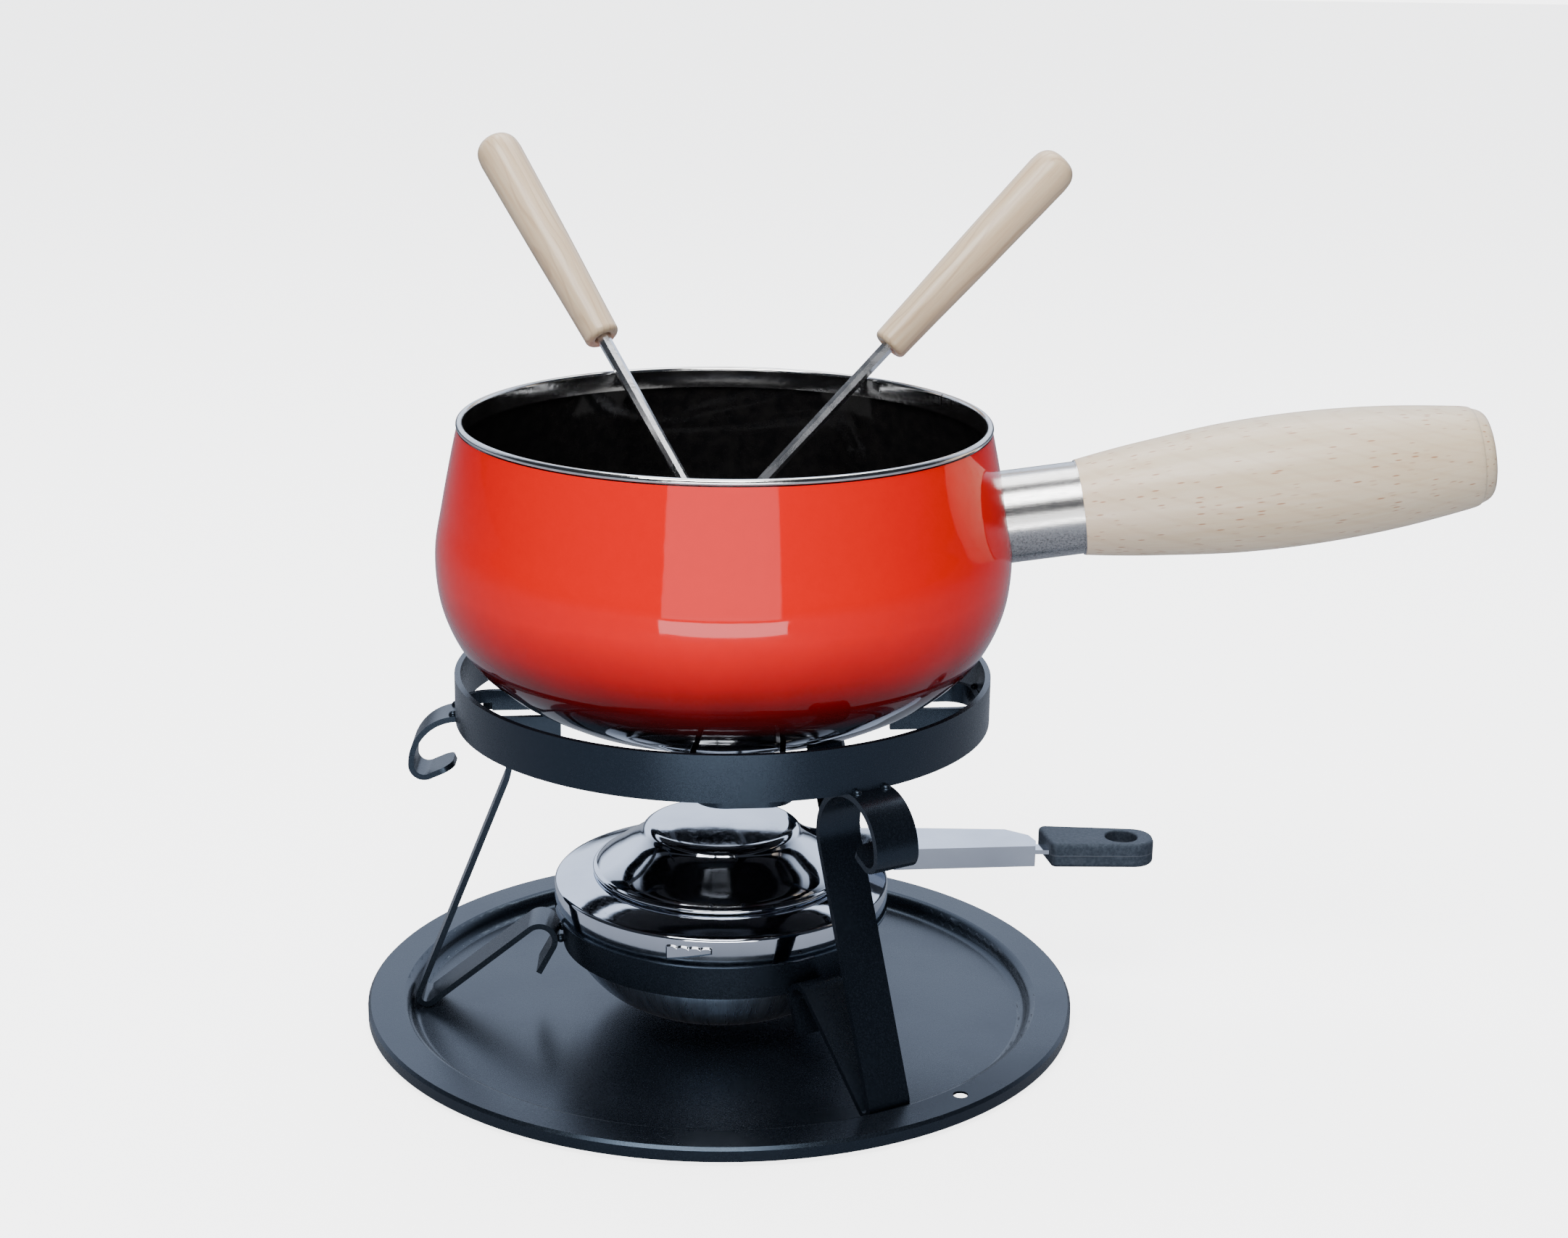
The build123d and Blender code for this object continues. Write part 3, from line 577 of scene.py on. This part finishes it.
# Painted shade: the lower half of the tube is darkened towards brown-grey, mottled by the speckle noise.
lower_half_shade_mask = remap(tree, split_xyz(tree, place)[2], 0.178, 0.186, 1.0, 0.0)
speckle_and_painted_shade = math_node(tree, "MULTIPLY", lower_half_shade_mask, remap(tree, spots, 0.45, 0.65, 0.2, 0.8))
tone = mix_color(tree, speckle_and_painted_shade, tone, (0.17, 0.15, 0.14))
link(tree, tone, shader.inputs["Base Color"])
link(tree, remap(tree, scratch, 0.3, 0.7, 0.16, 0.27), shader.inputs["Roughness"])
bump(tree, shader, scratch, 0.00004, 0.5)
paint(satin, "handle_ferrule", "handle_stud", "handle_washer")
soften("handle_ferrule", 0.0003)

# ---------------------------------------------------------------- wooden handle
# Turned beech, thin clear lacquer. Short reddish rays all over, curved growth-ring marks
# low near the end; a spigot goes into the ferrule and the stud screws in behind it.
tilt = math.radians(8.2)
beech, tree, shader, place = start_material("beech", Roughness=0.4)
moved = node(tree, "ShaderNodeMapping", vector_type="POINT")
moved.inputs["Rotation"].default_value = (0.0, tilt, 0.0)
link(tree, place, moved.inputs["Vector"])
along = moved.outputs[0]
fibre = noise(tree, scaled(tree, along, 6.0, 120.0, 120.0), 6.0, 5.0, 0.6)
wash = noise(tree, scaled(tree, along, 8.0, 30.0, 30.0), 1.2, 3.0)
tone = mix_color(tree, remap(tree, fibre, 0.3, 0.7, 0.0, 1.0), (0.84, 0.64, 0.41), (0.91, 0.75, 0.54))
tone = mix_color(tree, remap(tree, wash, 0.35, 0.7, 0.0, 0.55), tone, (0.96, 0.83, 0.64))
fleck = node(tree, "ShaderNodeTexVoronoi", feature="F1")
fleck.inputs["Scale"].default_value = 1.0
fleck.inputs["Randomness"].default_value = 1.0
link(tree, scaled(tree, along, 150.0, 900.0, 900.0), fleck.inputs["Vector"])
mark = remap(tree, fleck.outputs["Distance"], 0.16, 0.30, 1.0, 0.0)
some = split_xyz(tree, fleck.outputs["Color"])[0]
mark = math_node(tree, "MULTIPLY", mark, remap(tree, some, 0.45, 0.75, 0.0, 0.75))
tone = mix_color(tree, mark, tone, (0.48, 0.17, 0.06))
along_parts = split_xyz(tree, along)
ring_place = node(tree, "ShaderNodeCombineXYZ")
link(tree, math_node(tree, "MULTIPLY", math_node(tree, "SUBTRACT", along_parts[0], 0.33), 0.25), ring_place.inputs[0])
link(tree, along_parts[1], ring_place.inputs[1])
link(tree, math_node(tree, "SUBTRACT", along_parts[2], 0.185), ring_place.inputs[2])
reach = node(tree, "ShaderNodeVectorMath", operation="LENGTH")
link(tree, ring_place.outputs[0], reach.inputs[0])
wobble = remap(tree, wash, 0.3, 0.7, -0.0006, 0.0006)
rings = math_node(tree, "MULTIPLY", math_node(tree, "ADD", reach.outputs["Value"], wobble), 2100.0)
rings = math_node(tree, "SINE", rings)
rings = remap(tree, rings, 0.6, 1.0, 0.0, 0.10)
tone = mix_color(tree, rings, tone, (0.50, 0.25, 0.11))
link(tree, tone, shader.inputs["Base Color"])
link(tree, remap(tree, fibre, 0.3, 0.7, 0.42, 0.33), shader.inputs["Roughness"])
shader.inputs["Coat Weight"].default_value = 0.25
shader.inputs["Coat Roughness"].default_value = 0.2
bump(tree, shader, math_node(tree, "SUBTRACT", fibre, mark), 0.00008, 0.4)
paint(beech, "wooden_handle")

axis_x = Vector((math.cos(tilt), 0.0, math.sin(tilt)))
axis_side = Vector((0.0, 1.0, 0.0))
axis_up = axis_x.cross(axis_side)
handle_base = Matrix((
    (axis_side.x, axis_up.x, axis_x.x, 0.092),
    (axis_side.y, axis_up.y, axis_x.y, 0.0),
    (axis_side.z, axis_up.z, axis_x.z, 0.1813),
    (0, 0, 0, 1),
))
wood_line = [
    (16.55, 30.45), (18.0, 40.0), (19.8, 54.4), (22.45, 82.4), (22.85, 110.4), (21.2, 137.4),
    (17.9, 162.4), (16.5, 166.8),
]
wood_outline = [(0.0, 80.0), (3.0, 76.0), (3.0, 17.0), (14.75, 17.0), (14.75, 30.45)]
wood_outline += smooth_line(wood_line, 8)
wood_outline += smooth_line([(16.5, 166.8), (15.4, 169.4), (13.8, 170.9), (11.4, 171.35)], 4)
wood_outline += [(0.0, 171.38)]
wood = lathe("handle_turned", wood_outline, beech, "pot", 160, handle_base)
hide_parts("wooden_handle")

# ---------------------------------------------------------------- forks
# Three-tined steel forks: shafts folded from strip, so their faces show as facets, driven
# into turned and lacquered hardwood handles with a small socket round the shaft.
shaft_steel, tree, shader, place = start_material("shaft_steel", Metallic=1.0)
mottle = noise(tree, place, 160.0, 3.0)
link(tree, mix_color(tree, remap(tree, mottle, 0.35, 0.7, 0.0, 1.0), (0.86, 0.87, 0.90), (0.66, 0.67, 0.70)), shader.inputs["Base Color"])
link(tree, remap(tree, mottle, 0.3, 0.7, 0.20, 0.32), shader.inputs["Roughness"])
bump(tree, shader, noise(tree, place, 900.0, 2.0), 0.00004, 0.4)
paint(shaft_steel, "fork_shaft_left", "fork_shaft_right")

fork_ends = {
    "left": (Vector((27.3, 0.3, 118.9)), Vector((-39.8, 79.0, 218.9))),
    "right": (Vector((-45.4, 35.9, 118.9)), Vector((51.5, 72.0, 218.9))),
}
for side_name, (tip, rest_point) in fork_ends.items():
    lead = (rest_point - tip).normalized()
    across = lead.cross(Vector((0, 0, 1))).normalized()
    upward = lead.cross(across)
    fork_base = Matrix((
        (across.x, upward.x, lead.x, tip.x / 1000),
        (across.y, upward.y, lead.y, tip.y / 1000),
        (across.z, upward.z, lead.z, tip.z / 1000),
        (0, 0, 0, 1),
    ))
    timber, tree, shader, place = start_material("fork_timber_" + side_name, Roughness=0.36)
    to_local = fork_base.inverted()
    rows = []
    for row in range(3):
        dot = node(tree, "ShaderNodeVectorMath", operation="DOT_PRODUCT")
        link(tree, place, dot.inputs[0])
        dot.inputs[1].default_value = tuple(to_local[row][0:3])
        rows.append(math_node(tree, "ADD", dot.outputs["Value"], to_local[row][3]))
    local = node(tree, "ShaderNodeCombineXYZ")
    for row in range(3):
        link(tree, rows[row], local.inputs[row])
    lines = noise(tree, scaled(tree, local.outputs[0], 160.0, 160.0, 9.0), 5.0, 3.0, 0.6)
    warp = noise(tree, scaled(tree, local.outputs[0], 60.0, 60.0, 22.0), 1.0, 2.0)
    wavy = math_node(tree, "ADD", math_node(tree, "MULTIPLY", rows[0], 2600.0), math_node(tree, "MULTIPLY", warp, 22.0))
    wavy = remap(tree, math_node(tree, "SINE", wavy), 0.6, 1.0, 0.0, 0.22)
    tone = mix_color(tree, remap(tree, lines, 0.35, 0.7, 0.0, 1.0), (0.82, 0.60, 0.38), (0.91, 0.72, 0.50))
    tone = mix_color(tree, wavy, tone, (0.36, 0.17, 0.08))
    link(tree, tone, shader.inputs["Base Color"])
    shader.inputs["Coat Weight"].default_value = 0.35
    shader.inputs["Coat Roughness"].default_value = 0.15
    bump(tree, shader, wavy, 0.00005, 0.4)
    paint(timber, "fork_handle_" + side_name)
    grip_outline = [(0.0, 169.0), (3.1, 169.0), (3.1, 156.4)] + arc(4.3, 156.3, 1.2, 180, 270, 5)
    grip_outline += arc(4.6, 157.1, 2.0, -80, 0, 5)
    grip_outline += smooth_line([(6.6, 158.0), (7.0, 175.0), (7.6, 196.0), (8.15, 222.0), (8.5, 242.0)], 6)
    grip_outline += smooth_line([(8.5, 242.0), (8.1, 245.6), (6.9, 248.0), (5.0, 249.5), (2.6, 249.9), (0.0, 250.0)], 4)
    grip = lathe("fork_grip_" + side_name, grip_outline, timber, "fork_" + side_name, 96, fork_base)
    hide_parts("fork_handle_" + side_name)

# ---------------------------------------------------------------- floor, light and camera
# Pale sweep under the set, a broad front softbox, two overhead ones and a low strip in front.
paper, tree, shader, place = start_material("paper", Roughness=1.0)
shader.inputs["Specular IOR Level"].default_value = 0.0
pulp = noise(tree, place, 300.0, 3.0)
sight = node(tree, "ShaderNodeLightPath")
dim = mix_color(tree, pulp, (0.26, 0.28, 0.32), (0.27, 0.29, 0.33))
pale = mix_color(tree, pulp, (0.90, 0.90, 0.90), (0.93, 0.93, 0.93))
link(tree, mix_color(tree, sight.outputs["Is Camera Ray"], dim, pale), shader.inputs["Base Color"])
shader.inputs["Emission Color"].default_value = (1.0, 1.0, 1.0, 1.0)
link(tree, math_node(tree, "MULTIPLY", sight.outputs["Is Camera Ray"], 3.5), shader.inputs["Emission Strength"])
floor_mesh = bpy.data.meshes.new("floor")
floor_mesh.from_pydata([(-6, -6, -0.0002), (6, -6, -0.0002), (6, 6, -0.0002), (-6, 6, -0.0002)], [], [(0, 1, 2, 3)])
floor_mesh.materials.append(paper)
floor = bpy.data.objects.new("floor", floor_mesh)
bpy.context.scene.collection.objects.link(floor)

world = bpy.data.worlds.new("studio")
bpy.context.scene.world = world
world.use_nodes = True
tree = world.node_tree
tree.nodes.clear()
sky = node(tree, "ShaderNodeBackground")
path = node(tree, "ShaderNodeLightPath")
heading = node(tree, "ShaderNodeTexCoord")
heading_parts = split_xyz(tree, heading.outputs["Generated"])
behind = remap(tree, heading_parts[1], 0.25, 0.75, 0.0, 1.0)
above = remap(tree, heading_parts[2], 0.02, 0.16, 0.0, 1.0)
lit = math_node(tree, "MULTIPLY", behind, above)
surround = mix_color(tree, lit, (0.030, 0.034, 0.042), (1.25, 1.42, 1.75))
shade = mix_color(tree, path.outputs["Is Camera Ray"], surround, (5.0, 5.0, 5.0))
link(tree, shade, sky.inputs["Color"])
world_out = node(tree, "ShaderNodeOutputWorld")
link(tree, sky.outputs[0], world_out.inputs["Surface"])


def softbox(name, spot, aim, width, height, power):
    data = bpy.data.lights.new(name, "AREA")
    data.shape = "RECTANGLE"
    data.size = width
    data.size_y = height
    data.energy = power
    made = bpy.data.objects.new(name, data)
    made.location = spot
    made.rotation_euler = (Vector(aim) - Vector(spot)).to_track_quat("-Z", "Y").to_euler()
    bpy.context.scene.collection.objects.link(made)


softbox("front_box", (-0.02, -1.55, 0.22), (0.0, 0.0, 0.17), 1.25, 0.62, 7.0)
softbox("key_box", (-0.25, -0.95, 1.75), (0.0, 0.0, 0.12), 1.3, 0.9, 42.0)
softbox("top_box", (0.1, 0.6, 1.8), (0.0, 0.0, 0.1), 1.4, 1.0, 24.0)
softbox("low_strip", (0.0, -0.6, 0.035), (0.0, 0.0, 0.035), 0.5, 0.12, 1.6)

yaw = -0.023125
pitch = 0.28516
roll = 0.015127
right = Vector((math.cos(yaw), math.sin(yaw), 0.0))
ahead = Vector((-math.sin(yaw), math.cos(yaw), 0.0)) * math.cos(pitch) - Vector((0, 0, math.sin(pitch)))
upper = right.cross(ahead)
cam_x = right * math.cos(roll) + upper * math.sin(roll)
cam_y = upper * math.cos(roll) - right * math.sin(roll)
cam_z = -ahead
camera_data = bpy.data.cameras.new("camera")
camera_data.lens = 62.49
camera_data.sensor_width = 36.0
camera_data.clip_start = 0.01
camera = bpy.data.objects.new("camera", camera_data)
camera.matrix_world = Matrix((
    (cam_x.x, cam_y.x, cam_z.x, 0.0),
    (cam_x.y, cam_y.y, cam_z.y, -0.90693),
    (cam_x.z, cam_y.z, cam_z.z, 0.41062),
    (0, 0, 0, 1),
))
bpy.context.scene.collection.objects.link(camera)
bpy.context.scene.camera = camera
